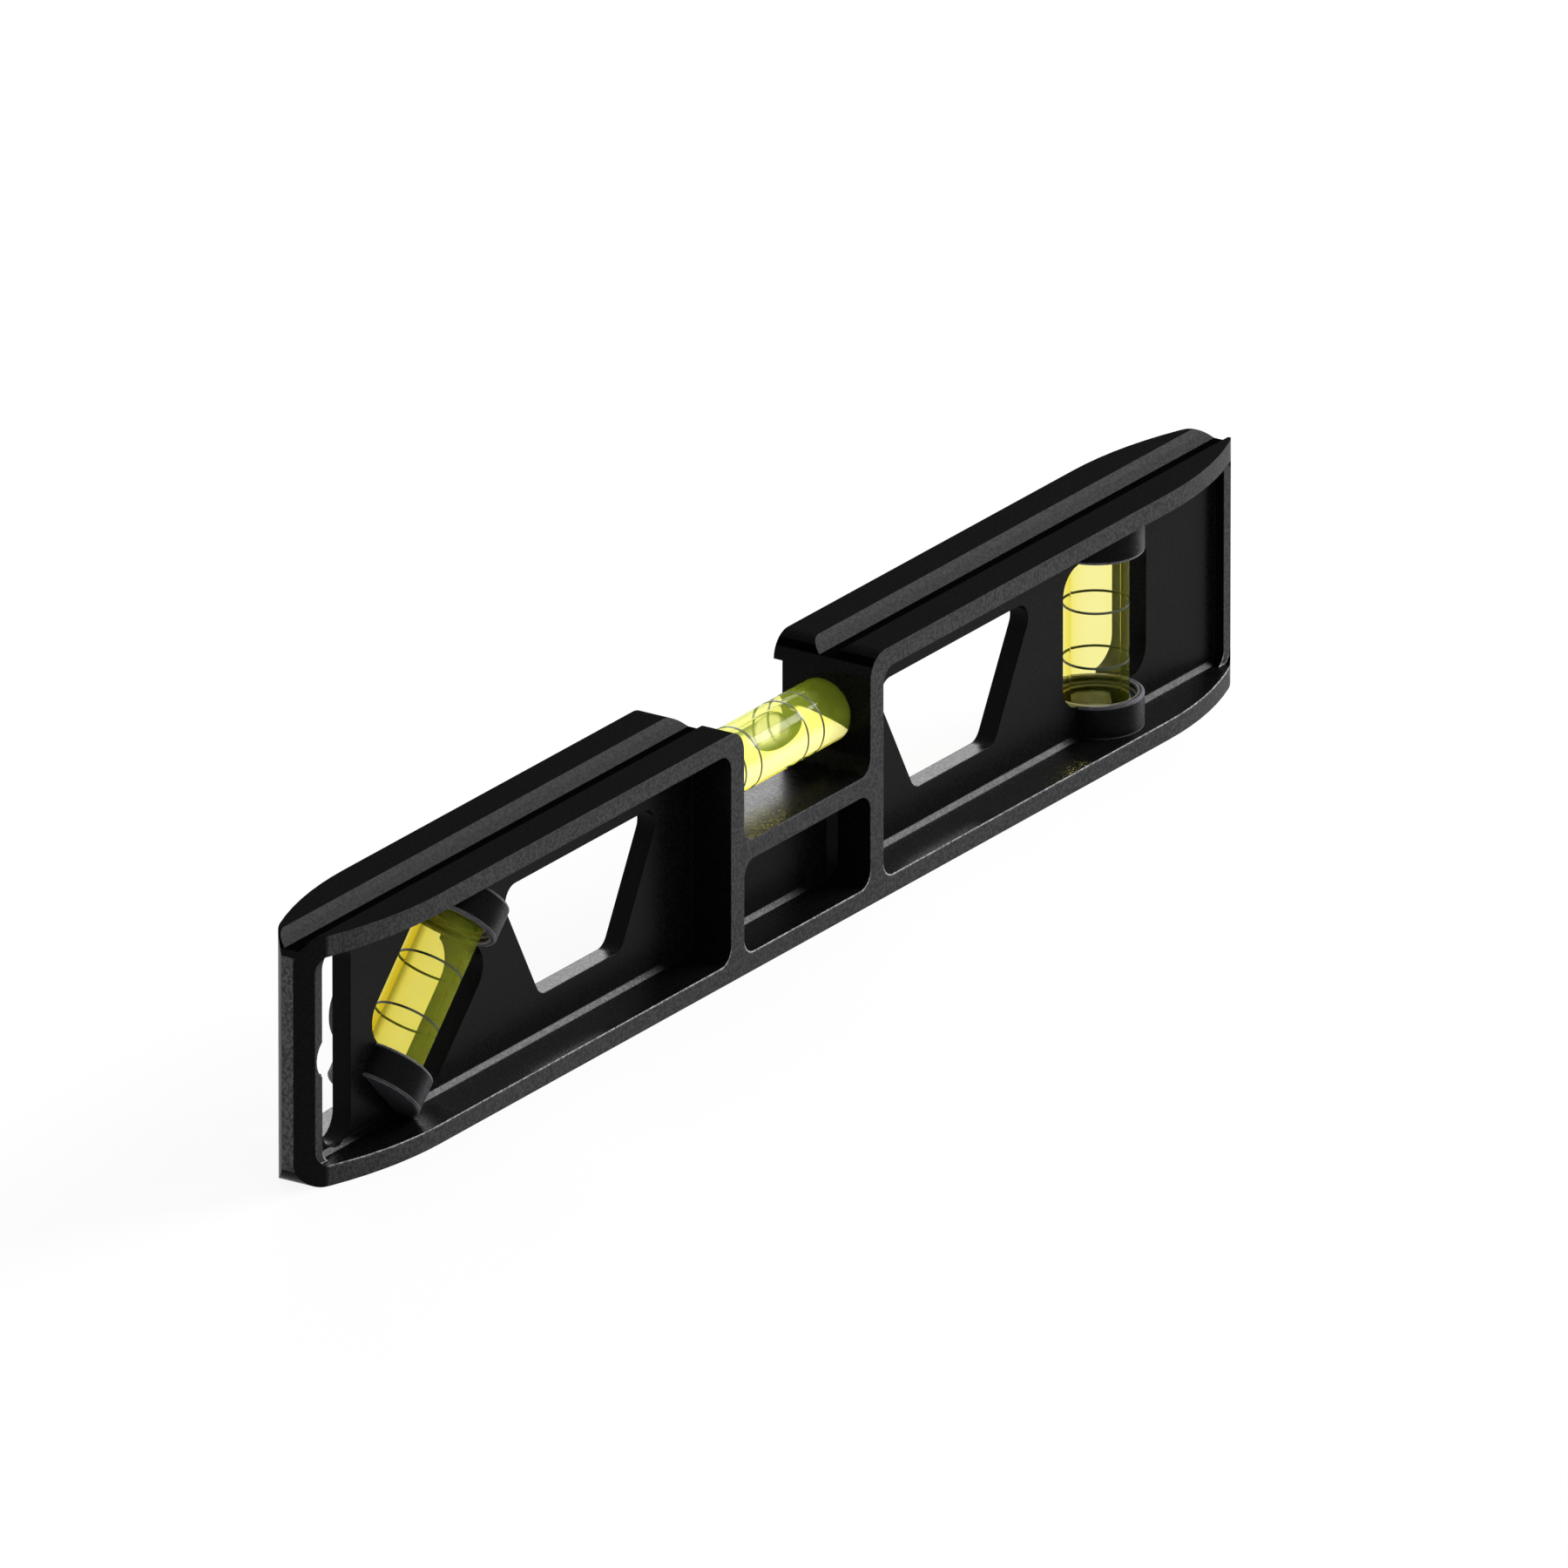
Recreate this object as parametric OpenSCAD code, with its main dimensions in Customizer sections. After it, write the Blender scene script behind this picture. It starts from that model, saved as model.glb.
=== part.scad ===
// Torpedo spirit level, 9 in class: a moulded black body with a centre web,
// a bubble vial along the top, one upright vial and one vial at 45 degrees.
// X runs along the level, Y from the front to the back, Z up from the base.

/* [Body] */
// Overall length
body_l = 227.8; // [226:0.2:280]
// Overall height
body_h = 35.8; // [35.4:0.1:42]
// Thickness over the straight sides
body_t = 15.6; // [15:0.1:20]
// Radius of the outer corners, at the ends and at the top of the notch
corner_r = 3.5; // [2:0.1:4.5]
// Width of the top and bottom rims
rim_w = 2.8; // [2.4:0.1:3.4]
// Thickness of the centre web
web_t = 2.9; // [2:0.1:4]
// Slope of the recess floors, in degrees
draft = 3; // [1:0.5:6]
// Chamfer along the foot of the web
foot_c = 0.65; // [0.3:0.05:0.9]
// Chamfer at the sides of the pocket under the notch
pocket_c = 1.1; // [0.5:0.05:1.6]
// Corner radius of the recesses and of the trapezoid windows
recess_r = 2.4; // [1.2:0.1:3]

/* [Tapered ends] */
// Length of the tapered stretch at each end
taper_l = 25; // [20:0.5:30]
// Length of the nose, the last and sharper part of the taper
nose_l = 4.4; // [3.4:0.1:6]
// Width of the body where the nose starts
nose_w = 8.2; // [7.6:0.1:9]
// Width of the blunt end, before its edges are broken
end_w = 1.8; // [1:0.1:2.6]
// Length of the bar that closes each end
end_bar_l = 3.9; // [3.2:0.1:5]
// Thickness of the end bar beside the web
end_bar_t = 5.9; // [5:0.1:7]

/* [Top groove] */
// Width of the V groove at the top face
groove_w = 5.66; // [4.6:0.02:6.4]
// Width of the flat at the bottom of the groove
groove_flat = 1.65; // [1:0.05:2.4]
// Depth of the groove
groove_depth = 1.6; // [1:0.05:2]

/* [Notch] */
// Length of the notch over the level vial
notch_l = 30.8; // [28:0.1:36]
// Height of the notch floor above the base
notch_z = 19; // [17:0.1:20]
// Thickness of the floor under the notch
shelf_t = 2.8; // [2:0.1:4]
// Thickness of the bars at the sides of the notch
bar_t = 3.2; // [2.8:0.1:4.5]
// How far the bars and the floor stand back from the rims at the back
back_step = 1.4; // [0.6:0.1:2]

/* [Windows] */
// Height of the web above and below the trapezoid windows
window_margin = 8.85; // [7:0.05:10]
// Middle of a trapezoid window, from the middle of the level
window_x = 45.6; // [44:0.1:47]
// Length of a trapezoid window at its sill
window_l = 19.6; // [14:0.1:20]
// Slant of its sides from the upright, in degrees
window_slant = 29; // [15:0.5:30]

/* [Hang slot] */
// Middle of the slot, from the left end
slot_x = 9.4; // [9.2:0.1:10.2]
// Width of the slot
slot_w = 7; // [5:0.1:7.4]
// Height of the web above and below the slot
slot_margin = 3.5; // [3.5:0.05:6]
// Radius of the peg notch in the end bar
peg_r = 3.05; // [2.5:0.05:3.2]
// Middle of the peg notch, from the left end
peg_x = 5.65; // [5.5:0.05:6.5]

/* [Vials] */
// Outside diameter of each vial barrel
vial_d = 9.15; // [8:0.05:9.6]
// Bore of each vial barrel
bore_d = 6.9; // [5:0.1:7.2]
// Thickness of the closed end of a barrel
barrel_end = 1.4; // [0.8:0.1:2]
// Length of the plug in the open end of a barrel
plug_l = 2.6; // [1.5:0.1:4]
// Width of a marker ring
ring_w = 0.3; // [0.2:0.02:0.5]
// Depth of the groove that a marker ring lies in
ring_depth = 0.15; // [0.08:0.01:0.3]
// How far a marker ring stands out of the barrel
ring_proud = 0.03; // [0.01:0.01:0.06]
// Radial clearance of plugs in barrels and of barrels in their seats
fit_gap = 0.03; // [0.01:0.01:0.06]

/* [Level vial] */
// Height of its axis above the base
level_z = 26.5; // [25:0.1:27]
// How deep each end sits in the bar beside the notch
level_seat = 2.1; // [1:0.1:2.3]
// Spacing of the two inner marker rings
level_inner = 11.4; // [9:0.1:14]
// Spacing of the two outer marker rings
level_outer = 19; // [17:0.1:22]
// Middle of the rings, from the middle of the level
level_shift = -0.5; // [-1:0.1:1]
// Length of its bubble
level_bubble = 12.4; // [8:0.1:14]
// Height of its bubble
level_bubble_h = 5.4; // [2:0.1:6]
// How much of that height the top of the bore cuts off
bubble_rise = 0.3; // [0.1:0.05:0.8]

/* [Upright and angled vials] */
// Middle of the upright vial, from the right end
plumb_end = 31.2; // [30.5:0.1:32]
// Middle of the angled vial, from the left end
angle_end = 31.4; // [30.5:0.1:32]
// Tilt of the angled vial from the upright, in degrees
angle = 45; // [30:1:50]
// Width and height of the opening round the upright vial
plumb_sight = 20.5; // [19:0.1:21]
// Width and height of the opening round the angled vial
angle_sight = 21.1; // [19:0.1:21.4]
// Corner radius of these openings
sight_r = 3.9; // [2:0.1:5]
// Diameter of the cups that hold the vial
cup_d = 13.4; // [12.4:0.1:13.6]
// Length of a cup
cup_l = 5; // [4:0.1:5.2]
// Thickness of a cup's closed end
cup_end = 1.2; // [0.8:0.1:1.8]
// Wall of a cup at its open rim
cup_lip = 1; // [0.7:0.1:1.3]
// Depth of the step inside the rim of a cup
cup_step = 1; // [0.5:0.1:1.5]
// Rounding of a cup's outer edges
cup_edge = 0.35; // [0.2:0.05:0.5]
// Spacing of the marker rings on these vials
side_ring = 8; // [6:0.1:12]
// How far the upright vial's rings sit below the middle of its opening
plumb_ring_drop = 1.5; // [0:0.05:3]
// Length of the air space in these vials
side_bubble = 2; // [1:0.1:2.4]

/* [Hidden] */

// Extra length of every cut, so that no face of a tool lies on a face of the body
lap = 1;
end_x = body_l / 2;
side_y = body_t / 2;
web_y = web_t / 2;
mid_z = body_h / 2;
taper_x = end_x - taper_l;
nose_x = end_x - nose_l;
notch_x = notch_l / 2;
bar_x = notch_x + bar_t;
// The side curve is tangent to the straight side and passes through the start of the nose
nose_drop = side_y - nose_w / 2;
side_r = (pow(taper_l - nose_l, 2) + pow(nose_drop, 2)) / (2 * nose_drop);
nose_turn = asin((taper_l - nose_l) / side_r);
// The nose curve is tangent to the side curve and passes through the corner of the blunt end
nose_run = [nose_l, (end_w - nose_w) / 2];
nose_r = (pow(nose_run[0], 2) + pow(nose_run[1], 2))
    / (-2 * (nose_run[0] * sin(nose_turn) + nose_run[1] * cos(nose_turn)));
nose_mid = [nose_x - nose_r * sin(nose_turn), nose_w / 2 - nose_r * cos(nose_turn)];
// From the middle of a vial to the closed end of a cup
plumb_reach = plumb_sight / 2 + cup_l;
angle_reach = angle_sight / 2 + cup_l;
plumb_l = 2 * (plumb_reach - cup_end);
angle_l = 2 * (angle_reach - cup_end);
level_vial_l = notch_l + 2 * level_seat;
groove_z = body_h - groove_depth;
black = [0.09, 0.09, 0.1];
clear = [0.93, 0.95, 0.8, 0.5];
yellow = [0.92, 0.88, 0.35, 0.8];
dark = [0.08, 0.1, 0.06];

// A polygon with a radius at each corner. Its points run anticlockwise.
function unit(v) = v / norm(v);
function at(list, i) = list[(i + len(list)) % len(list)];
function into(p, i, step) = unit(at(p, i + step) - p[i]);
function half_angle(p, i) = acos(into(p, i, 1) * into(p, i, -1)) / 2;
function cut_back(p, r, i) = r[i] / tan(half_angle(p, i));
function turns_left(p, i) = cross(p[i] - at(p, i - 1), at(p, i + 1) - p[i]) > 0;
function arc_middle(p, r, i) = p[i] + unit(into(p, i, 1) + into(p, i, -1)) * r[i] / sin(half_angle(p, i));

module outline(p, r) {
    corners = [for (i = [0 : len(p) - 1]) each r[i] == 0 ? [p[i]] :
        [for (step = [-1, 1]) p[i] + into(p, i, step) * cut_back(p, r, i)]];
    difference() {
        union() {
            polygon(corners);
            for (i = [0 : len(p) - 1]) if (r[i] > 0 && turns_left(p, i))
                translate(arc_middle(p, r, i)) circle(r[i], $fn = 64);
        }
        for (i = [0 : len(p) - 1]) if (r[i] > 0 && !turns_left(p, i))
            translate(arc_middle(p, r, i)) circle(r[i], $fn = 64);
    }
}

function rectangle(x0, x1, z0, z1) = [[x0, z0], [x1, z0], [x1, z1], [x0, z1]];
function all_corners(r, count = 4) = [for (i = [1 : count]) r];

// An outline drawn in X and Z, made as thick as t about the middle plane
module across(t) {
    translate([0, t / 2, 0]) rotate([90, 0, 0]) linear_extrude(t) children();
}

// An outline drawn in Y and Z, run along X from x0 to x1
module along(x0, x1) {
    translate([x0, 0, 0]) rotate([90, 0, 90]) linear_extrude(x1 - x0) children();
}

// The same shape at the front and at the back
module both_sides() {
    children();
    mirror([0, 1, 0]) children();
}

// One end of the plan: the side curves, then the nose curves up to the blunt end
module plan_end() {
    intersection() {
        for_sides_of_plan([taper_x, side_y - side_r], side_r, 360);
        translate([taper_x - lap, -side_y]) square([nose_x - taper_x + lap, body_t]);
    }
    intersection() {
        for_sides_of_plan(nose_mid, nose_r, 180);
        translate([nose_x - nose_l / 4, -side_y]) square([end_x - nose_x + nose_l / 4, body_t]);
    }
}

// What two circles of radius r share, one on each side of the middle line
module for_sides_of_plan(middle, r, faces) {
    intersection() {
        translate(middle) circle(r, $fn = faces);
        translate([middle[0], -middle[1]]) circle(r, $fn = faces);
    }
}

module plan() {
    translate([-taper_x, -side_y]) square([2 * taper_x, body_t]);
    plan_end();
    mirror([1, 0]) plan_end();
}

// The side view: a bar with rounded corners and the notch in its top edge
module side_view() {
    outline([[-end_x, 0], [end_x, 0], [end_x, body_h], [notch_x, body_h], [notch_x, notch_z],
             [-notch_x, notch_z], [-notch_x, body_h], [-end_x, body_h]],
            [corner_r, corner_r, corner_r, corner_r, recess_r, recess_r, corner_r, corner_r]);
}

// The V groove along the whole top face
module groove() {
    flat = groove_flat / 2;
    top = groove_w / 2;
    along(-end_x - lap, end_x + lap)
        polygon([[-flat, groove_z], [flat, groove_z], [top, body_h], [top, body_h + lap],
                 [-top, body_h + lap], [-top, body_h]]);
}

// A recess at the front, from x0 to x1 and z0 to z1, down to y_in from the middle plane. Its floor and
// ceiling slope, and a chamfer as wide as foot joins them to its bottom.
module recess(x0, x1, z0, z1, y_in, foot) {
    rise = tan(draft);
    out = lap * rise;
    deep = (side_y - y_in) * rise;
    bend = deep - foot * rise;
    intersection() {
        along(x0 - lap, x1 + lap)
            polygon([[-side_y - lap, z0 - out], [-y_in - foot, z0 + bend], [-y_in, z0 + deep + foot],
                     [-y_in, z1 - deep - foot], [-y_in - foot, z1 - bend], [-side_y - lap, z1 + out]]);
        across(body_t + 3 * lap) outline(rectangle(x0, x1, z0, z1), all_corners(recess_r));
    }
}

// The pocket under the notch, with a chamfer along the foot of its two sides
module pocket() {
    top = notch_z - shelf_t;
    wide = notch_x + lap;
    bend = -web_y - pocket_c - lap;
    intersection() {
        recess(-notch_x, notch_x, rim_w, top, web_y, foot_c);
        translate([0, 0, rim_w - lap]) linear_extrude(top - rim_w + 2 * lap)
            polygon([[-wide, -side_y - lap], [wide, -side_y - lap], [wide, bend],
                     [notch_x - pocket_c, -web_y], [pocket_c - notch_x, -web_y], [-wide, bend]]);
    }
}

// Where the nose is as thick as the end bar
relief_x = nose_mid[0] + sqrt(pow(nose_r, 2) - pow(end_bar_t / 2 - nose_mid[1], 2));

// What a side recess leaves standing at its outer end
module end_bar() {
    recess_x = end_x - end_bar_l;
    inner_x = recess_x - recess_r - lap;
    difference() {
        translate([inner_x, -end_bar_t / 2, 0]) cube([end_x - inner_x, end_bar_t, body_h]);
        across(end_bar_t + 2 * lap)
            outline(rectangle(bar_x, recess_x, rim_w, body_h - rim_w), all_corners(recess_r));
    }
}

module side_recesses() {
    both_ends() difference() {
        recess(bar_x, relief_x, rim_w, body_h - rim_w, web_y, foot_c);
        end_bar();
    }
    pocket();
}

// The same shapes at the right and at the left
module both_ends() {
    children();
    mirror([1, 0, 0]) children();
}

// At the back the bars and the notch floor stand behind the rims
module back_relief() {
    translate([-bar_x - lap, side_y - back_step, rim_w])
        cube([2 * (bar_x + lap), back_step + lap, body_h - corner_r - rim_w]);
}

// A trapezoid window in the web
module window() {
    half = window_l / 2;
    height = body_h - 2 * window_margin;
    spread = half + height * tan(window_slant);
    across(web_t + 2 * lap)
        translate([window_x, window_margin])
            outline([[-half, 0], [half, 0], [spread, height], [-spread, height]], all_corners(recess_r));
}

// The slot through the web, with round ends, and the peg notch in the end bar beside it
module hang_slot() {
    x = slot_x - end_x;
    r = slot_w / 2;
    across(web_t + 2 * lap) {
        translate([x - r, slot_margin + r]) square([slot_w, body_h - 2 * (slot_margin + r)]);
        for (z = [slot_margin + r, body_h - slot_margin - r]) translate([x, z]) circle(r, $fn = 64);
    }
    translate([peg_x - end_x, 0, mid_z]) rotate([90, 0, 0])
        cylinder(h = body_t + 2 * lap, r = peg_r, center = true, $fn = 96);
}

// What a side vial needs cut in the body: its opening and the seats of its two cups
module vial_opening(sight, reach) {
    half = sight / 2;
    across(web_t + 2 * lap) outline(rectangle(-half, half, -half, half), all_corners(sight_r));
    cylinder(h = 2 * reach, d = cup_d + 2 * fit_gap, center = true, $fn = 128);
}

// The frames in which the vials are drawn, each with its axis along Z
module at_plumb() {
    translate([end_x - plumb_end, 0, mid_z]) children();
}

module at_angle() {
    translate([angle_end - end_x, 0, mid_z]) rotate([0, angle, 0]) children();
}

module at_level() {
    translate([0, 0, level_z]) rotate([0, 90, 0]) children();
}

module body() {
    color(black) difference() {
        intersection() {
            translate([0, 0, -lap]) linear_extrude(body_h + 2 * lap) plan();
            across(body_t + 2 * lap) side_view();
        }
        groove();
        both_sides() side_recesses();
        back_relief();
        both_ends() window();
        hang_slot();
        at_plumb() vial_opening(plumb_sight, plumb_reach);
        at_angle() vial_opening(angle_sight, angle_reach);
        at_level() cylinder(h = level_vial_l + 2 * fit_gap, d = vial_d + 2 * fit_gap, center = true, $fn = 96);
    }
}

// A vial barrel about Z: closed at the top, open at the bottom, with a groove for each ring
module barrel(l, rings) {
    color(clear) difference() {
        cylinder(h = l, d = vial_d, center = true, $fn = 96);
        translate([0, 0, -l / 2 - lap]) cylinder(h = l - barrel_end + lap, d = bore_d, $fn = 96);
        for (z = rings) translate([0, 0, z]) ring_band(vial_d + lap);
    }
}

// A band of the given outside diameter, as deep and as wide as a ring's groove
module ring_band(d) {
    difference() {
        cylinder(h = ring_w, d = d, center = true, $fn = 96);
        cylinder(h = ring_w + lap, d = vial_d - 2 * ring_depth, center = true, $fn = 96);
    }
}

module ring(z) {
    color(dark) translate([0, 0, z]) ring_band(vial_d + 2 * ring_proud);
}

module plug(l) {
    color(clear) translate([0, 0, -l / 2]) cylinder(h = plug_l, d = bore_d - 2 * fit_gap, $fn = 96);
}

// The liquid of a vial about Z, which fills its bore between the plug and the closed end
module liquid(l) {
    low = -l / 2 + plug_l + fit_gap;
    high = l / 2 - barrel_end - fit_gap;
    translate([0, 0, low]) cylinder(h = high - low, d = bore_d - 2 * fit_gap, $fn = 96);
}

// A cup about Z, standing on its closed end
module cup() {
    outer = cup_d / 2;
    seat = vial_d / 2 + fit_gap;
    lip = outer - cup_lip;
    shoulder = cup_l - cup_step;
    color(black) rotate_extrude($fn = 128)
        outline([[0, 0], [outer, 0], [outer, cup_l], [lip, cup_l], [lip, shoulder], [seat, shoulder],
                 [seat, cup_end], [0, cup_end]],
                [0, cup_edge, cup_edge, cup_edge / 2, 0, 0, 0, 0]);
}

module lower_cup(reach) {
    translate([0, 0, -reach]) cup();
}

module upper_cup(reach) {
    mirror([0, 0, 1]) lower_cup(reach);
}

// The level vial's liquid, less its bubble, a capsule that the top of the bore flattens
module level_liquid() {
    rest = level_bubble / 2 - level_bubble_h / 2;
    top = level_z + bore_d / 2 + bubble_rise;
    color(yellow) difference() {
        at_level() liquid(level_vial_l);
        translate([level_shift, 0, top - level_bubble_h / 2]) rotate([0, 90, 0]) {
            cylinder(h = 2 * rest, d = level_bubble_h, center = true, $fn = 64);
            for (side = [-1, 1]) translate([0, 0, side * rest]) sphere(d = level_bubble_h, $fn = 64);
        }
    }
}

// A side vial's liquid, with the air at the closed end, which is the upper one
module side_liquid(l) {
    top = l / 2 - barrel_end;
    color(yellow) difference() {
        liquid(l);
        translate([0, 0, top - side_bubble]) cylinder(h = side_bubble + lap, d = bore_d + lap, $fn = 96);
    }
}

level_rings = [level_shift - level_outer / 2, level_shift - level_inner / 2,
               level_shift + level_inner / 2, level_shift + level_outer / 2];
plumb_rings = [side_ring / 2 - plumb_ring_drop, -side_ring / 2 - plumb_ring_drop];
angle_rings = [side_ring / 2, -side_ring / 2];

module level_barrel() {
    at_level() barrel(level_vial_l, level_rings);
}

module level_plug() {
    at_level() plug(level_vial_l);
}

module level_ring_outer_left() {
    at_level() ring(level_rings[0]);
}

module level_ring_inner_left() {
    at_level() ring(level_rings[1]);
}

module level_ring_inner_right() {
    at_level() ring(level_rings[2]);
}

module level_ring_outer_right() {
    at_level() ring(level_rings[3]);
}

module plumb_barrel() {
    at_plumb() barrel(plumb_l, plumb_rings);
}

module plumb_plug() {
    at_plumb() plug(plumb_l);
}

module plumb_liquid() {
    at_plumb() side_liquid(plumb_l);
}

module plumb_ring_upper() {
    at_plumb() ring(plumb_rings[0]);
}

module plumb_ring_lower() {
    at_plumb() ring(plumb_rings[1]);
}

module plumb_cup_upper() {
    at_plumb() upper_cup(plumb_reach);
}

module plumb_cup_lower() {
    at_plumb() lower_cup(plumb_reach);
}

module angle_barrel() {
    at_angle() barrel(angle_l, angle_rings);
}

module angle_plug() {
    at_angle() plug(angle_l);
}

module angle_liquid() {
    at_angle() side_liquid(angle_l);
}

module angle_ring_upper() {
    at_angle() ring(angle_rings[0]);
}

module angle_ring_lower() {
    at_angle() ring(angle_rings[1]);
}

module angle_cup_upper() {
    at_angle() upper_cup(angle_reach);
}

module angle_cup_lower() {
    at_angle() lower_cup(angle_reach);
}

body();
level_barrel();
level_plug();
level_liquid();
level_ring_outer_left();
level_ring_inner_left();
level_ring_inner_right();
level_ring_outer_right();
plumb_barrel();
plumb_plug();
plumb_liquid();
plumb_ring_upper();
plumb_ring_lower();
plumb_cup_upper();
plumb_cup_lower();
angle_barrel();
angle_plug();
angle_liquid();
angle_ring_upper();
angle_ring_lower();
angle_cup_upper();
angle_cup_lower();
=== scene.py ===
"""Looks of a pocket spirit level: grained black body, satin cups, clear vials with yellow liquid."""
import math

import bmesh
import bpy
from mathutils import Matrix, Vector

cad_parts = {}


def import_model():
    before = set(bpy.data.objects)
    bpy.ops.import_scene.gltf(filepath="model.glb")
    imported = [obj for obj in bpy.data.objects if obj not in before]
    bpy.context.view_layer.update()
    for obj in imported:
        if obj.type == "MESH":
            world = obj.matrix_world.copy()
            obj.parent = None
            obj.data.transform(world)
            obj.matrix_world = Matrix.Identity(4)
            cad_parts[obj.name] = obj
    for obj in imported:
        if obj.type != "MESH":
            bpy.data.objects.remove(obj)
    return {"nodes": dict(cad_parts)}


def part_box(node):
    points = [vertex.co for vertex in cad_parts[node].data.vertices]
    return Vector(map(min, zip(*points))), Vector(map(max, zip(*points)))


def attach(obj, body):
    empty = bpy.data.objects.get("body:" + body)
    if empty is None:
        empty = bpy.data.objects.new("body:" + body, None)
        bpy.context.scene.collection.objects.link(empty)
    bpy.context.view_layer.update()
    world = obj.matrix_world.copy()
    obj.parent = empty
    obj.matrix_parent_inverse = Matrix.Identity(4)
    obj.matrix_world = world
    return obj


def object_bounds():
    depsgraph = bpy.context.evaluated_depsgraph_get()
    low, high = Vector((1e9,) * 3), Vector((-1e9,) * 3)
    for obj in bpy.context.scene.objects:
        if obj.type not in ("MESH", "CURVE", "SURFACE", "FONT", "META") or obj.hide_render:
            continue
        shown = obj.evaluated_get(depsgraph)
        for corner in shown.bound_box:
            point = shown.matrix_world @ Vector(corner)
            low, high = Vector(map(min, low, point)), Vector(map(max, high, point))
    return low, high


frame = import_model()
cad_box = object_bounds()

# Lengths are in metres. A pair of values says where a change begins and where it ends. A pair of shades or
# colours says what they vary between.

# The photograph's view: angles in degrees, the lens and the sensor in millimetres
CAMERA_AZIMUTH = -56.6
CAMERA_ELEVATION = 21.3
CAMERA_DISTANCE = 9.1358
CAMERA_TARGET = (0.00612, 0.0, 0.0188733)
CAMERA_LENS = 1560.0
CAMERA_SENSOR = 36.0
CAMERA_CLIP = (1.0, 100.0)

# Sizes of the body that its finishes follow: the web's faces from the middle plane, the end faces from the
# level's middle, and how far below the top face the rails reach
HEIGHT = cad_box[1].z
RIM_WIDTH = 0.0028
GROOVE_DEPTH = 0.0016
WEB_FACE = 0.00145
END_FACE = 0.1130
RAIL_DEPTH = 0.0008

# How far edges look rounded, how wide the painted highlight along the edges is, how far normals turn there,
# and how far from mid height edges get the painted highlight at all, which leaves out the rims' outer edges
EDGE_ROUNDING = 0.00022
EDGE_LINE = 0.0005
EDGE_TURN = (0.006, 0.04)
EDGE_SAMPLES = 6
INNER_EDGES = (HEIGHT / 2 - RIM_WIDTH + 0.0003, HEIGHT / 2 - RIM_WIDTH + 0.0006)

# How squarely a face has to face a way, as cosines, to count as a side face, an end face, a slope of the
# groove or an upward edge that gets the painted highlight
SIDE_FACING = (0.90, 0.93)
END_FACING = (0.96, 0.98)
SLOPE_FACING = (0.4, 0.5)
EDGE_FACING_UP = (0.05, 0.3)

# The width over which one finish gives way to the next
FADE = 0.0002

# The blacks: a faint blue hue, multiplied by a shade. The cups' shade grows into a painted sheen as their
# surface turns away.
GRAINED_HUE = (1.0, 1.0, 1.04)
SMOOTH_HUE = (1.0, 1.0, 1.03)
CUP_HUE = (1.0, 1.0, 1.1)
FACE_SHADE = 0.025
# The end faces' paler shade is painted light, for the light that they catch
END_PAINTED_LIGHT = 0.060
# The web's and walls' dark shade is partly the smoother plastic's own tone and partly painted shade of the
# recesses
WEB_SHADES = (0.0018, 0.0036)
# The groove's floor is darkened as painted shade, and its slopes made pale as painted light
GROOVE_FLOOR_PAINTED_SHADE = 0.0010
RAIL_SHADE = 0.0058
GROOVE_SLOPE_PAINTED_LIGHT = 0.038
CUP_SHADE_TO_SHEEN = (0.003, 0.040)
CUP_TURN = (0.3, 0.8)

# What the painted highlight along edges adds to the shade: on the body below a height, above it, and on the
# cups
LOW_EDGE_HIGHLIGHT = 0.30
HIGH_EDGE_HIGHLIGHT = 0.02
EDGE_HEIGHT = (0.010, 0.012)
CUP_EDGE_HIGHLIGHT = 0.3

# Noise, in cycles to the metre
BODY_GRAIN = 2400.0
BODY_CLOUDS = 260.0
CUP_GRAIN = 5000.0
RING_GRAIN = 2500.0
RIPPLES = 300.0

# Where each vial lies: its middle and the direction of its axis. Then the radius of its bore and its barrel.
VIALS = {"level": ((0.0, 0.0, 0.0265), (1.0, 0.0, 0.0)),
         "plumb": ((0.0827, 0.0, 0.0179), (0.0, 0.0, 1.0)),
         "angle": ((-0.0825, 0.0, 0.0179), (0.7071, 0.0, 0.7071))}
BORE_RADIUS = 0.00345
VIAL_RADIUS = 0.004575

# Each barrel: its refraction, the colour and density of its tint, its haze and its gloss. The outer face has
# the haze and the gloss, and is told from the bore by its distance from the axis.
BARRELS = {"level": (1.01, (0.98, 0.92, 0.05, 1.0), 200.0, 0.18, 0.12),
           "plumb": (1.01, (0.94, 0.88, 0.10, 1.0), 420.0, 0.018, 0.06),
           "angle": (1.01, (0.92, 0.84, 0.02, 1.0), 760.0, 0.11, 0.06)}
OUTER_FACE = (BORE_RADIUS + 0.0002, BORE_RADIUS + 0.0005)
HAZE_COLOUR = (0.72, 0.90, 0.07, 1.0)
HAZE_SWING = 0.15
CLEAR_COLOUR = (1.0, 1.0, 0.98, 1.0)

# Each liquid: its refraction, its density and the strength of the olive rim of painted shade where its
# surface turns away
LIQUIDS = {"level": (1.02, 70.0, 0.9), "plumb": (1.02, 20.0, 0.0), "angle": (1.02, 20.0, 0.3)}
LIQUID_TINT = (0.98, 0.93, 0.2, 1.0)
RIM_PAINTED_SHADE = (0.06, 0.075, 0.012, 1.0)
RIM_TURN = (0.25, 0.6)

# The skin of the bubble in the level vial: how far it reaches along the vial and from its axis, and its
# look, a pale painted sheen
BUBBLE_END = (0.0082, 0.0084)
BUBBLE_REACH = (BORE_RADIUS - 0.0004, BORE_RADIUS - 0.0002)
BUBBLE_SHARE = 0.3
BUBBLE_PAINTED_SHEEN = (0.95, 0.94, 0.75, 1.0)
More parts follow.
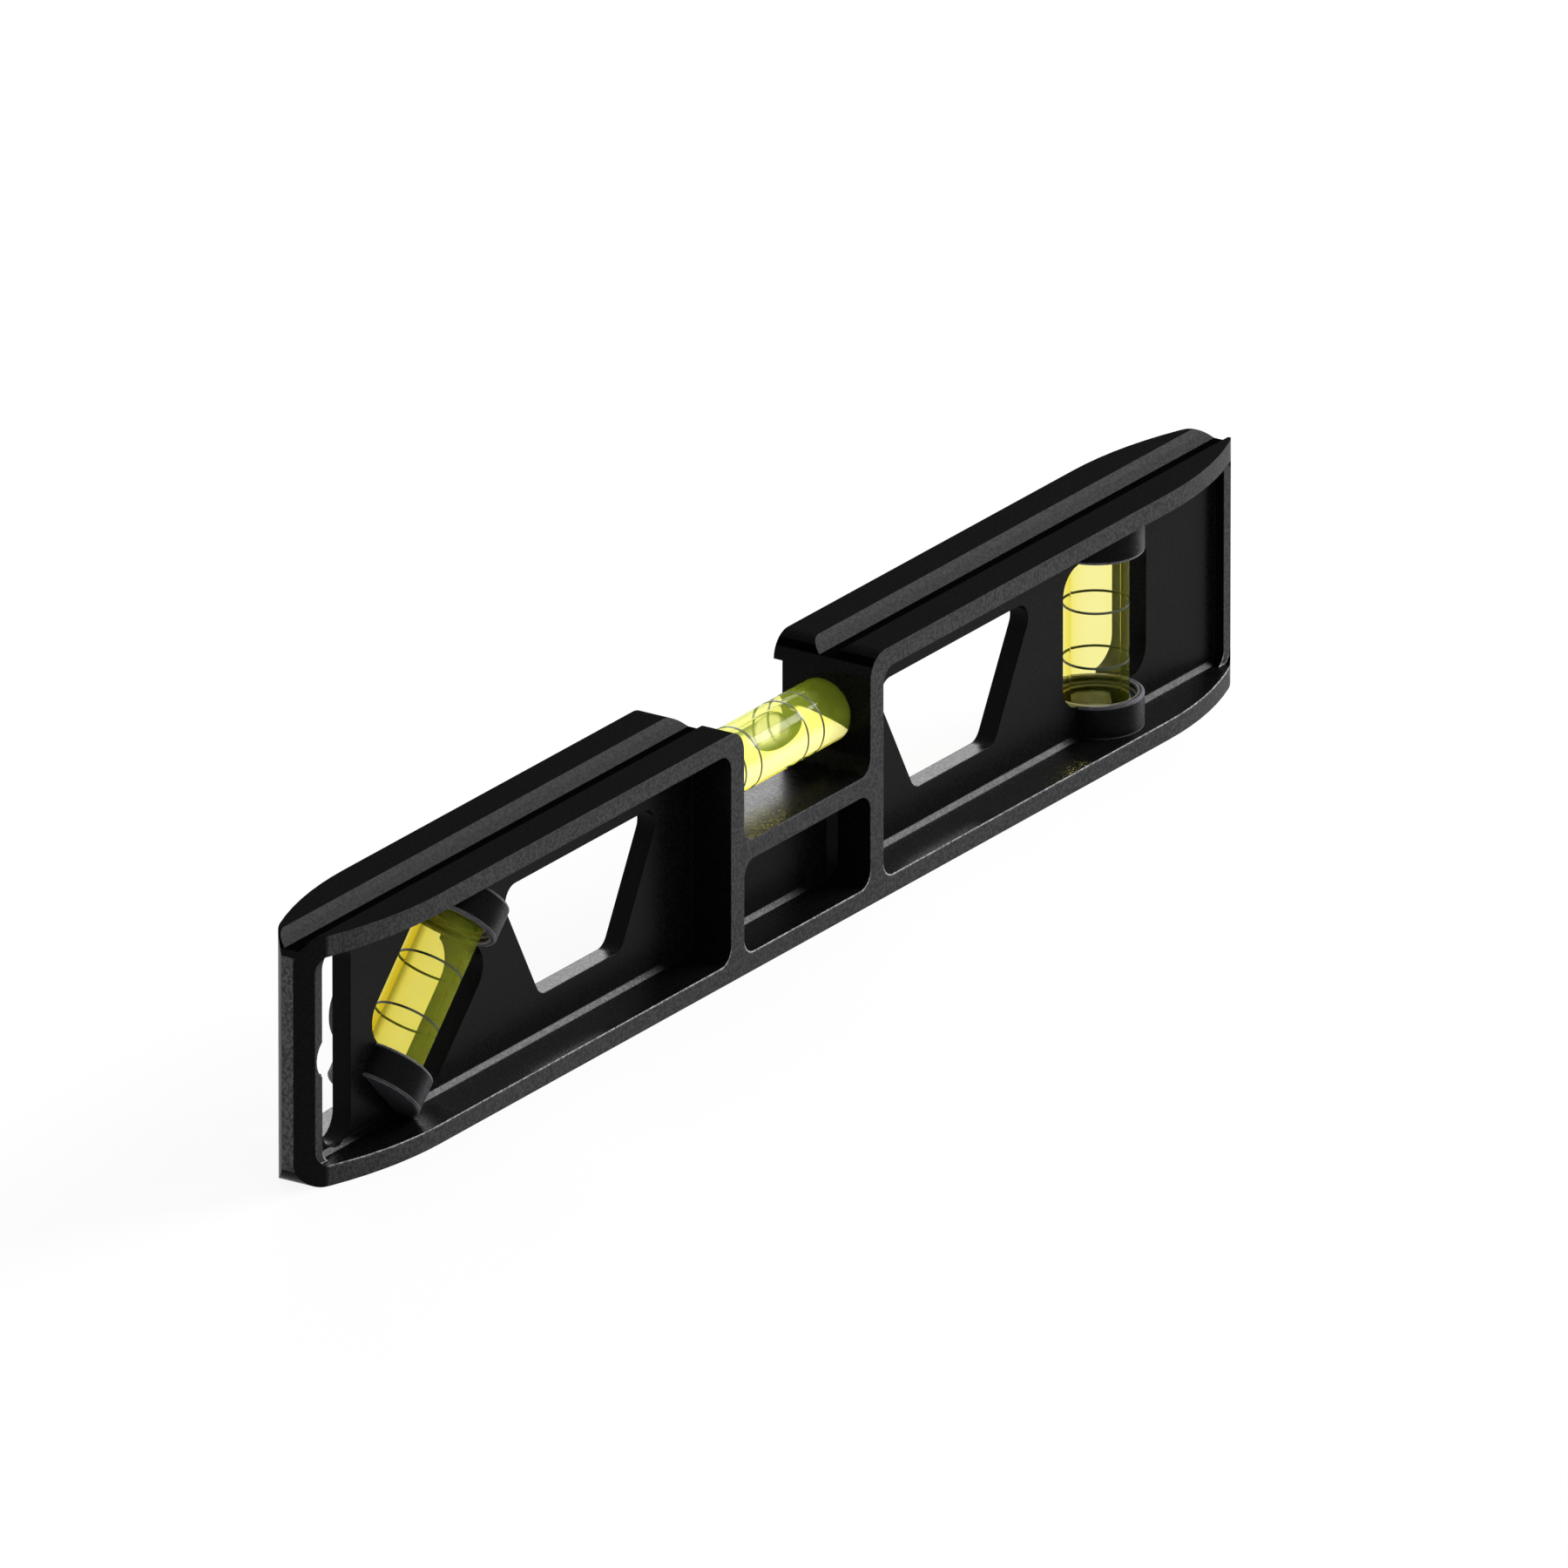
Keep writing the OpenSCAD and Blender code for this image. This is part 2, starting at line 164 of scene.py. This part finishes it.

# Painted light on the front wall of the level vial: a glow and a colour that stand in for light that comes
# through the vial from below and behind. A place on the wall is given along the vial and by how far down it
# lies, from -1 at the vial's upper outline to 1 at its lower one. The first value below is that way down, in
# Y and Z. The painted light leaves out an ellipse round the bubble, given by its middle and its half sizes
# along and down. It ends at a slanted line towards the right, and leaves a gap for each marker ring.
PAINTED_LIGHT_DOWN = (-0.578, -0.817)
PAINTED_LIGHT_FRONT = (-0.0006, 0.0)
PAINTED_LIGHT_TOP = (-0.60, -0.30)
PAINTED_LIGHT_BOTTOM = (0.93, 0.98)
PAINTED_LIGHT_BUBBLE = (-0.0010, -0.20, 0.0061, 0.58)
PAINTED_LIGHT_ROUND_BUBBLE = (0.95, 1.10)
PAINTED_LIGHT_SLANT = 1.5
PAINTED_LIGHT_END = (0.0124, 0.0127)
PAINTED_LIGHT_RING = (0.000176, 0.00022)
PAINTED_LIGHT_SHARE = 0.92
PAINTED_LIGHT_GLOW = 0.48
PAINTED_LIGHT_YELLOW = (0.76, 0.68, 0.13, 1.0)
PAINTED_LIGHT_CREAM = (0.86, 0.80, 0.30, 1.0)
PAINTED_LIGHT_CREAM_FROM = (0.25, 0.65)

# The two colours that a marker ring's line varies between
RING_COLOURS = ((0.004, 0.010, 0.004, 1.0), (0.010, 0.022, 0.010, 1.0))

# The raised edge round each side vial's opening at the back: half the opening, and how far back it reaches.
# CUP_CLEARANCE is how far from the vial's axis it ends, which leaves room for the cups.
COLLARS = {"plumb": (0.01025, 0.0045), "angle": (0.01055, 0.0049)}
COLLAR_CORNER = 0.0039
COLLAR_WALL = 0.001
COLLAR_BEVEL = 0.0001
CUP_CLEARANCE = 0.00685
ARC_STEPS = 8

# The studio. Each lamp has an azimuth and an elevation in degrees, a width, a height and a power in watts.
# The world's light on the object grows from the left to the right, along X. FLOOR_GLOW is the share of plain
# white in the floor where it shows as the background.
LAMPS = {"front_left": (-45, 30, 0.8, 0.5, 1.0),
         "front_right": (64, 31, 0.55, 0.25, 18.0),
         "back_right": (123, 22, 0.7, 0.4, 8.0)}
LAMP_DISTANCE = 1.2
FILL_LEFT = 0.2
FILL_RIGHT = 0.85
FILL_CHANGE = (-0.9, 0.3)
WHITE = (1.0, 1.0, 1.0, 1.0)
FLOOR_COLOUR = (0.8, 0.8, 0.8, 1.0)
FLOOR_GLOW = 0.9
FLOOR_HALF = 3.0


def direction(azimuth, elevation):
    """The unit vector from the object towards that azimuth and elevation."""
    a, e = math.radians(azimuth), math.radians(elevation)
    return Vector((math.sin(a) * math.cos(e), -math.cos(a) * math.cos(e), math.sin(e)))


class Nodes:
    """A material's or world's node tree, with short calls for the nodes that this scene uses."""

    def __init__(self, owner):
        self.tree = owner.node_tree
        self.tree.nodes.clear()

    def add(self, kind, **values):
        """A node of this kind, with its properties and its sockets set by name."""
        node = self.tree.nodes.new(kind)
        for name, value in values.items():
            if hasattr(node, name):
                setattr(node, name, value)
            else:
                self.feed(node.inputs[name.replace("_", " ")], value)
        return node

    def feed(self, socket, value):
        """Link an output to a socket, or set the socket's own value."""
        if isinstance(value, bpy.types.NodeSocket):
            self.tree.links.new(value, socket)
        else:
            socket.default_value = value

    def feed_all(self, node, values):
        """Feed values to a node's first sockets, in order, and return the node's outputs."""
        for socket, value in zip(node.inputs, values):
            self.feed(socket, value)
        return node.outputs

    def math(self, operation, *values):
        """The result of a Math node."""
        return self.feed_all(self.add("ShaderNodeMath", operation=operation), values)[0]

    def vector_math(self, operation, *values):
        """The outputs Vector and Value of a Vector Math node."""
        return self.feed_all(self.add("ShaderNodeVectorMath", operation=operation), values)

    def product(self, total, *others):
        """All the values multiplied together."""
        for value in others:
            total = self.math("MULTIPLY", total, value)
        return total

    def ramp(self, value, low, high, to_low=0.0, to_high=1.0):
        """value taken from the range low to high to another range, and smoothly held there."""
        node = self.add("ShaderNodeMapRange", interpolation_type="SMOOTHSTEP", Value=value)
        for name, number in (("From Min", low), ("From Max", high), ("To Min", to_low), ("To Max", to_high)):
            self.feed(node.inputs[name], number)
        return node.outputs["Result"]

    def below(self, value, low, high):
        """1 where value is under low, 0 where it is over high, and smooth between them."""
        return self.ramp(value, low, high, 1.0, 0.0)

    def spread(self, noise, low, high, half=0.2):
        """Noise within half of its middle, 0.5, spread over the range from low to high."""
        return self.ramp(noise, 0.5 - half, 0.5 + half, low, high)

    def mix_colour(self, factor, first, second):
        """Two colours mixed by a factor. The numbers are the Mix node's sockets for colours."""
        node = self.add("ShaderNodeMix", data_type="RGBA")
        for index, value in ((0, factor), (6, first), (7, second)):
            self.feed(node.inputs[index], value)
        return node.outputs[2]

    def scaled(self, colour, factor):
        """A colour multiplied by a number."""
        node = self.add("ShaderNodeVectorMath", operation="SCALE", Scale=factor)
        return self.feed_all(node, [colour])[0]

    def place(self):
        """The shaded point, in the object's own space."""
        return self.add("ShaderNodeTexCoord").outputs["Object"]

    def true_normal(self):
        """The face's own normal, without any shading."""
        return self.add("ShaderNodeNewGeometry").outputs["True Normal"]

    def split(self, vector):
        """A vector's parts, as the outputs X, Y and Z."""
        return self.add("ShaderNodeSeparateXYZ", Vector=vector).outputs

    def noise(self, scale, detail=2.0, roughness=0.5):
        """Noise in the object's own space, with scale in cycles to the metre."""
        node = self.add("ShaderNodeTexNoise", Scale=scale, Detail=detail, Roughness=roughness)
        self.feed(node.inputs["Vector"], self.place())
        return node.outputs["Fac"]

    def away_from_axis(self, middle, axis):
        """How far the shaded point lies from a line through middle along axis."""
        reach = self.vector_math("SUBTRACT", self.place(), middle)["Vector"]
        across = self.vector_math("CROSS_PRODUCT", reach, axis)["Vector"]
        return self.vector_math("LENGTH", across)["Value"]

    def bump(self, relief, distance, strength, over=None):
        """A normal bumped by relief, on top of another normal if one is given."""
        node = self.add("ShaderNodeBump", Strength=strength, Distance=distance, Height=relief)
        if over is not None:
            self.feed(node.inputs["Normal"], over)
        return node.outputs["Normal"]

    def rounded_edges(self, radius):
        """A normal that turns smoothly over the object's edges."""
        return self.add("ShaderNodeBevel", samples=EDGE_SAMPLES, Radius=radius).outputs["Normal"]

    def edge_line(self, rounded):
        """1 along the object's edges, where a normal that is rounded over them leaves the true one."""
        alike = self.vector_math("DOT_PRODUCT", rounded, self.true_normal())["Value"]
        return self.ramp(self.math("SUBTRACT", 1.0, alike), *EDGE_TURN)

    def turning_away(self):
        """From 0 where the surface faces the viewer to 1 where it turns away."""
        return self.add("ShaderNodeLayerWeight", Blend=0.5).outputs["Facing"]

    def diffuse(self, colour):
        """A plain matt shader."""
        return self.add("ShaderNodeBsdfDiffuse", Color=colour).outputs[0]

    def principled(self, **values):
        """A Principled shader, with its sockets set by name."""
        return self.add("ShaderNodeBsdfPrincipled", **values).outputs["BSDF"]

    def blend(self, factor, first, second):
        """Two shaders mixed by a factor."""
        return self.feed_all(self.add("ShaderNodeMixShader"), (factor, first, second))[0]

    def lit_through(self, shader):
        """The shader as the camera meets it, and clear for the light that reaches what is behind."""
        path = self.add("ShaderNodeLightPath").outputs
        lighting = self.math("MAXIMUM", path["Is Shadow Ray"], path["Is Diffuse Ray"])
        return self.blend(lighting, shader, self.add("ShaderNodeBsdfTransparent").outputs[0])

    def surface(self, shader):
        """The material's output, with this shader as its surface."""
        return self.add("ShaderNodeOutputMaterial", Surface=shader)

    def tinted_solid(self, shader, tint, density):
        """The material's output for a clear solid that tints the light which passes through it."""
        absorbing = self.add("ShaderNodeVolumeAbsorption", Color=tint, Density=density)
        self.feed(self.surface(shader).inputs["Volume"], absorbing.outputs[0])


def new_material(name):
    """A material of that name, and its nodes."""
    material = bpy.data.materials.new(name)
    material.use_nodes = True
    return material, Nodes(material)


def painted_edge_highlights(n, height):
    """A painted highlight on the upward-facing inner edges: a pale line low down, and a faint one above."""
    line = n.rounded_edges(EDGE_LINE)
    inner = n.below(n.math("ABSOLUTE", n.math("SUBTRACT", height, HEIGHT / 2)), *INNER_EDGES)
    upward = n.ramp(n.split(line)["Z"], *EDGE_FACING_UP)
    edge_highlight = n.ramp(height, *EDGE_HEIGHT, LOW_EDGE_HIGHLIGHT, HIGH_EDGE_HIGHLIGHT)
    return n.product(inner, upward, n.edge_line(line), edge_highlight)


def grained_finish(n, speckle, clouds, rounded, shade):
    """The moulded grain of the body's outer faces."""
    grain = n.product(n.spread(speckle, 0.45, 1.55), n.spread(clouds, 0.95, 1.05))
    return n.principled(Base_Color=n.scaled(n.scaled(GRAINED_HUE, shade), grain),
                        Roughness=n.spread(speckle, 0.5, 0.7), Specular_IOR_Level=0.1,
                        Normal=n.bump(speckle, distance=0.00006, strength=0.5, over=rounded))


def smooth_finish(n, speckle, rounded):
    """The smoother plastic of the web and of the walls, dark partly in its own tone and partly as painted
    shade.
    """
    return n.principled(Base_Color=n.scaled(SMOOTH_HUE, n.spread(speckle, *WEB_SHADES)),
                        Roughness=n.spread(speckle, 0.26, 0.34), Specular_IOR_Level=0.04,
                        Normal=n.bump(speckle, distance=0.00003, strength=0.4, over=rounded))


def top_finish(n, speckle, clouds, rounded, shade):
    """The matt plastic of the rails and the groove along the top."""
    grain = n.spread(speckle, 0.8, 1.2, half=0.25)
    return n.principled(Base_Color=n.scaled(n.scaled(SMOOTH_HUE, shade), grain),
                        Roughness=0.8, Specular_IOR_Level=0.0,
                        Normal=n.bump(clouds, distance=0.00002, strength=0.2, over=rounded))


def outer_faces(n, place, facing):
    """Two masks: the side faces that stand out from the web, and the end faces."""
    off_web = n.ramp(n.math("ABSOLUTE", place["Y"]), WEB_FACE + FADE, WEB_FACE + 2 * FADE)
    side_face = n.product(n.ramp(n.math("ABSOLUTE", facing["Y"]), *SIDE_FACING), off_web)
    beyond = n.ramp(n.math("ABSOLUTE", place["X"]), END_FACE, END_FACE + FADE)
    end_face = n.product(n.ramp(n.math("ABSOLUTE", facing["X"]), *END_FACING), beyond)
    return side_face, end_face


def top_shade_and_painted_light(n, place, facing):
    """The shade along the top: dark on the groove's floor as painted shade, less so on the rails, and pale
    on its slopes as painted light.
    """
    rail = n.ramp(place["Z"], HEIGHT - RAIL_DEPTH, HEIGHT - RAIL_DEPTH + FADE)
    flat_shade = n.ramp(rail, 0.0, 1.0, GROOVE_FLOOR_PAINTED_SHADE, RAIL_SHADE)
    slope = n.ramp(n.math("ABSOLUTE", facing["Y"]), *SLOPE_FACING)
    return n.math("ADD", flat_shade, n.product(slope, GROOVE_SLOPE_PAINTED_LIGHT))


def body_material():
    """Moulded black plastic: grained outer faces, smooth web and walls darkened partly by painted shade,
    matt rails.
    """
    material, n = new_material("body_black")
    place, facing = n.split(n.place()), n.split(n.true_normal())
    speckle, clouds = n.noise(BODY_GRAIN, 1.0), n.noise(BODY_CLOUDS, 3.0, 0.6)
    rounded = n.rounded_edges(EDGE_ROUNDING)

    side_face, end_face = outer_faces(n, place, facing)
    # The end faces get the paler shade of painted light, and the inner edges a painted highlight
    face_shade = n.math("ADD", n.ramp(end_face, 0.0, 1.0, FACE_SHADE, END_PAINTED_LIGHT), painted_edge_highlights(n, place["Z"]))
    grained = grained_finish(n, speckle, clouds, rounded, face_shade)
    smooth = smooth_finish(n, speckle, rounded)
    matt = top_finish(n, speckle, clouds, rounded, top_shade_and_painted_light(n, place, facing))

    outer = n.math("MAXIMUM", side_face, end_face)
    high = n.ramp(place["Z"], HEIGHT - GROOVE_DEPTH - FADE, HEIGHT - GROOVE_DEPTH)
    on_top = n.product(high, n.ramp(facing["Z"], *SLOPE_FACING))
    n.surface(n.blend(on_top, n.blend(outer, smooth, grained), matt))
    return material


def cup_material():
    """Satin black plastic with a fine grain, a painted sheen where it turns away and a painted highlight on
    its edges.
    """
    material, n = new_material("cup_black")
    speckle = n.noise(CUP_GRAIN, 1.0)
    grain = n.spread(speckle, 0.4, 1.6)
    # A painted highlight along the cup's edges, added to its shade
    edge_highlight = n.product(n.edge_line(n.rounded_edges(EDGE_LINE)), CUP_EDGE_HIGHLIGHT)
    # The shade grows from dark into a painted sheen where the surface turns away
    shade = n.math("ADD", n.product(n.ramp(n.turning_away(), *CUP_TURN, *CUP_SHADE_TO_SHEEN), grain), edge_highlight)
    rounded = n.rounded_edges(EDGE_ROUNDING)
    n.surface(n.principled(Base_Color=n.scaled(CUP_HUE, shade),
                           Roughness=n.spread(speckle, 0.28, 0.40), Specular_IOR_Level=0.04,
                           Normal=n.bump(speckle, distance=0.00008, strength=0.5, over=rounded)))
    return material


def ring_places():
    """Where the level vial's marker rings lie along it."""
    boxes = [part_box(name) for name in frame["nodes"] if name.startswith("level_ring_")]
    return [(low.x + high.x) / 2 for low, high in boxes]


def off_bubble(n, along, down):
    """1 outside an ellipse round the level vial's bubble."""
    middle, centre, half_length, half_height = PAINTED_LIGHT_BUBBLE
    lengthways = n.math("DIVIDE", n.math("SUBTRACT", along, middle), half_length)
    upright = n.math("DIVIDE", n.math("SUBTRACT", down, centre), half_height)
    reach = n.math("ADD", n.product(lengthways, lengthways), n.product(upright, upright))
    return n.ramp(reach, *PAINTED_LIGHT_ROUND_BUBBLE)


def painted_light_on_wall(n):
    """Where painted light lies on the level vial's front wall, for light from below and behind, and its
    colour.
    """
    place = n.split(n.place())
    along, across = place["X"], place["Y"]
    height = n.math("SUBTRACT", place["Z"], VIALS["level"][0][2])
    down = n.math("ADD", n.product(across, PAINTED_LIGHT_DOWN[0] / VIAL_RADIUS),
                  n.product(height, PAINTED_LIGHT_DOWN[1] / VIAL_RADIUS))
    slant = n.math("ADD", along, n.product(height, PAINTED_LIGHT_SLANT))
    off_rings = [n.math("ABSOLUTE", n.math("SUBTRACT", along, ring)) for ring in ring_places()]
    where = n.product(off_bubble(n, along, down), n.below(across, *PAINTED_LIGHT_FRONT),
                      n.below(slant, *PAINTED_LIGHT_END), n.ramp(down, *PAINTED_LIGHT_TOP), n.below(down, *PAINTED_LIGHT_BOTTOM),
                      *(n.ramp(off_ring, *PAINTED_LIGHT_RING) for off_ring in off_rings))
    return where, n.mix_colour(n.ramp(down, *PAINTED_LIGHT_CREAM_FROM), PAINTED_LIGHT_YELLOW, PAINTED_LIGHT_CREAM)


def barrel_material(vial, bending, tint, density, haze, gloss):
    """Clear acrylic with a yellow tint in its wall, and gloss and a slight haze on its outer face, with
    painted light on the level vial.
    """
    material, n = new_material(f"{vial}_clear")
    # The painted glow is too weak to light other pieces, so it isn't sampled as a lamp
    material.cycles.emission_sampling = "NONE"
    outer = n.ramp(n.away_from_axis(*VIALS[vial]), *OUTER_FACE)
    clear = n.principled(Base_Color=CLEAR_COLOUR, Roughness=0.0, IOR=bending, Transmission_Weight=1.0,
                         Coat_Weight=n.product(outer, gloss), Coat_IOR=1.5, Coat_Roughness=0.02)
    ripple = n.noise(RIPPLES, 1.0)
    share = n.product(outer, n.spread(ripple, haze * (1 - HAZE_SWING), haze * (1 + HAZE_SWING), half=0.3))
    colour, glow = HAZE_COLOUR, 0.0
    # The level vial's front wall gets painted light: a milky colour that glows, standing in for light from
    # behind
    if vial == "level":
        where, light = painted_light_on_wall(n)
        lit = n.product(outer, where)
        share = n.math("MAXIMUM", share, n.product(lit, PAINTED_LIGHT_SHARE))
        colour = n.mix_colour(lit, HAZE_COLOUR, light)
        glow = n.product(lit, PAINTED_LIGHT_GLOW)
    milky = n.principled(Base_Color=colour, Roughness=1.0, Specular_IOR_Level=0.0,
                         Emission_Color=colour, Emission_Strength=glow)
    n.tinted_solid(n.lit_through(n.blend(share, clear, milky)), tint, density)
    return material


def liquid_material(vial, bending, density, rim):
    """Thin clear liquid, pale yellow, with olive painted shade where its surface turns away, and a painted
    sheen on the level vial's bubble.
    """
    material, n = new_material(f"{vial}_liquid")
    ripple = n.noise(RIPPLES, 1.0)
    shader = n.principled(Base_Color=CLEAR_COLOUR, Roughness=0.0, IOR=bending, Transmission_Weight=1.0,
                          Normal=n.bump(ripple, distance=0.00001, strength=0.1))
    turning = n.turning_away()
    if vial == "level":
        near = n.below(n.math("ABSOLUTE", n.split(n.place())["X"]), *BUBBLE_END)
        skin = n.product(near, n.below(n.away_from_axis(*VIALS[vial]), *BUBBLE_REACH))
        # A pale painted sheen on the bubble's skin
        shader = n.blend(n.product(skin, BUBBLE_SHARE), shader, n.diffuse(BUBBLE_PAINTED_SHEEN))
        turning = n.product(skin, turning)
    # An olive painted shade where the surface turns away
    rimmed = n.blend(n.ramp(turning, *RIM_TURN, 0.0, rim), shader, n.diffuse(RIM_PAINTED_SHADE))
    n.tinted_solid(n.lit_through(rimmed), LIQUID_TINT, density)
    return material


def ring_material():
    """The dark line of a marker ring."""
    material, n = new_material("vial_ring")
    shade = n.spread(n.noise(RING_GRAIN), 0.6, 1.2, half=0.15)
    n.surface(n.principled(Base_Color=n.mix_colour(shade, *RING_COLOURS), Roughness=0.4))
    return material


def dress(nodes):
    """Give every node of the frame its finish."""
    body, cup, ring = body_material(), cup_material(), ring_material()
    clear = {vial: barrel_material(vial, *values) for vial, values in BARRELS.items()}
    liquid = {vial: liquid_material(vial, *values) for vial, values in LIQUIDS.items()}
    for name, obj in nodes.items():
        vial = name.split("_")[0]
        if name == "body":
            finish = body
        elif "_cup_" in name:
            finish = cup
        elif "_ring_" in name:
            finish = ring
        elif name.endswith("_liquid"):
            finish = liquid[vial]
        else:
            finish = clear[vial]
        if not obj.data.materials:
            obj.data.materials.append(finish)
        for slot in obj.material_slots:
            slot.material = finish


def collar_path(half, grow):
    """One side of an opening's outline, grown outwards, from cup to cup, as points across and along."""
    centre = half - COLLAR_CORNER
    radius = COLLAR_CORNER + grow
    last = math.acos((CUP_CLEARANCE - centre) / radius)
    arc = [last * step / ARC_STEPS for step in range(ARC_STEPS + 1)]
    lower = [(centre + radius * math.cos(a), -centre - radius * math.sin(a)) for a in reversed(arc)]
    return lower + [(x, -z) for x, z in reversed(lower)]


def collar_mesh(vial):
    """Two halves, each a wall along one side of the vial's opening, from the web to the back."""
    half, back = COLLARS[vial]
    middle, up = Vector(VIALS[vial][0]), Vector(VIALS[vial][1])
    out = Vector((up.z, 0.0, -up.x))
    inside, outside = collar_path(half, 0.0), collar_path(half, COLLAR_WALL)
    corners = ((WEB_FACE, inside), (back, inside), (back, outside), (WEB_FACE, outside))
    shape = bmesh.new()
    for side in (1, -1):
        rows = []
        for y, path in corners:
            points = [middle + out * side * x + up * z + Vector((0, y, 0)) for x, z in path]
            rows.append([shape.verts.new(point) for point in points])
        for row, beside in zip(rows, rows[1:] + rows[:1]):
            for i in range(len(row) - 1):
                shape.faces.new((row[i], row[i + 1], beside[i + 1], beside[i]))
        for end in (0, -1):
            shape.faces.new([row[end] for row in rows])
    bmesh.ops.recalc_face_normals(shape, faces=shape.faces)
    mesh = bpy.data.meshes.new(f"{vial}_collar")
    shape.to_mesh(mesh)
    shape.free()
    return mesh


def collar(vial):
    """The raised edge at the back of a side vial's opening, in two halves that leave room for the cups."""
    mesh = collar_mesh(vial)
    mesh.materials.append(bpy.data.materials["body_black"])
    piece = bpy.data.objects.new(f"{vial}_collar", mesh)
    bpy.context.scene.collection.objects.link(piece)
    bevel = piece.modifiers.new("edges", "BEVEL")
    bevel.width = COLLAR_BEVEL
    bevel.segments = 2
    bevel.limit_method = "ANGLE"
    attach(piece, "root")


def background_rays(n):
    """1 for the rays that show the background: the camera's own, and those off gloss and through glass."""
    path = n.add("ShaderNodeLightPath").outputs
    seen = n.math("MAXIMUM", path["Is Camera Ray"], path["Is Transmission Ray"])
    return n.math("MAXIMUM", seen, path["Is Glossy Ray"])


def floor():
    """A wide white floor that shows as the white background and keeps a soft shadow."""
    corners = [(x * FLOOR_HALF, y * FLOOR_HALF, 0) for x, y in ((-1, -1), (1, -1), (1, 1), (-1, 1))]
    mesh = bpy.data.meshes.new("floor")
    mesh.from_pydata(corners, [], [(0, 1, 2, 3)])
    obj = bpy.data.objects.new("floor", mesh)
    bpy.context.scene.collection.objects.link(obj)
    material, n = new_material("floor_white")
    shaded = n.principled(Base_Color=FLOOR_COLOUR, Roughness=0.9, Specular_IOR_Level=0.0)
    glow = n.add("ShaderNodeEmission", Color=WHITE, Strength=1.0).outputs[0]
    n.surface(n.blend(n.product(background_rays(n), FLOOR_GLOW), shaded, glow))
    mesh.materials.append(material)


def world():
    """Pale surroundings that the camera, gloss and glass see as white."""
    studio = bpy.data.worlds.new("studio")
    studio.use_nodes = True
    bpy.context.scene.world = studio
    n = Nodes(studio)
    towards = n.split(n.add("ShaderNodeTexCoord").outputs["Generated"])
    fill = n.ramp(towards["X"], *FILL_CHANGE, FILL_LEFT, FILL_RIGHT)
    strength = n.math("MAXIMUM", background_rays(n), fill)
    background = n.add("ShaderNodeBackground", Color=WHITE, Strength=strength)
    n.add("ShaderNodeOutputWorld", Surface=background.outputs[0])


def softbox(name, azimuth, elevation, width, height, power):
    """A rectangular lamp that points at the object."""
    data = bpy.data.lights.new(name, "AREA")
    data.shape = "RECTANGLE"
    data.size = width
    data.size_y = height
    data.energy = power
    lamp = bpy.data.objects.new(name, data)
    lamp.location = direction(azimuth, elevation) * LAMP_DISTANCE
    lamp.rotation_euler = direction(azimuth, elevation).to_track_quat("Z", "Y").to_euler()
    bpy.context.scene.collection.objects.link(lamp)


def camera():
    """The camera, at the photograph's view."""
    data = bpy.data.cameras.new("camera")
    data.sensor_width = CAMERA_SENSOR
    data.lens = CAMERA_LENS
    data.clip_start, data.clip_end = CAMERA_CLIP
    obj = bpy.data.objects.new("camera", data)
    toward = direction(CAMERA_AZIMUTH, CAMERA_ELEVATION)
    obj.location = Vector(CAMERA_TARGET) + toward * CAMERA_DISTANCE
    obj.rotation_euler = toward.to_track_quat("Z", "Y").to_euler()
    bpy.context.scene.collection.objects.link(obj)
    bpy.context.scene.camera = obj


dress(frame["nodes"])
for vial_name in COLLARS:
    collar(vial_name)
floor()
world()
for lamp_name, lamp_values in LAMPS.items():
    softbox(lamp_name, *lamp_values)
camera()
bpy.context.scene.view_settings.view_transform = "Standard"
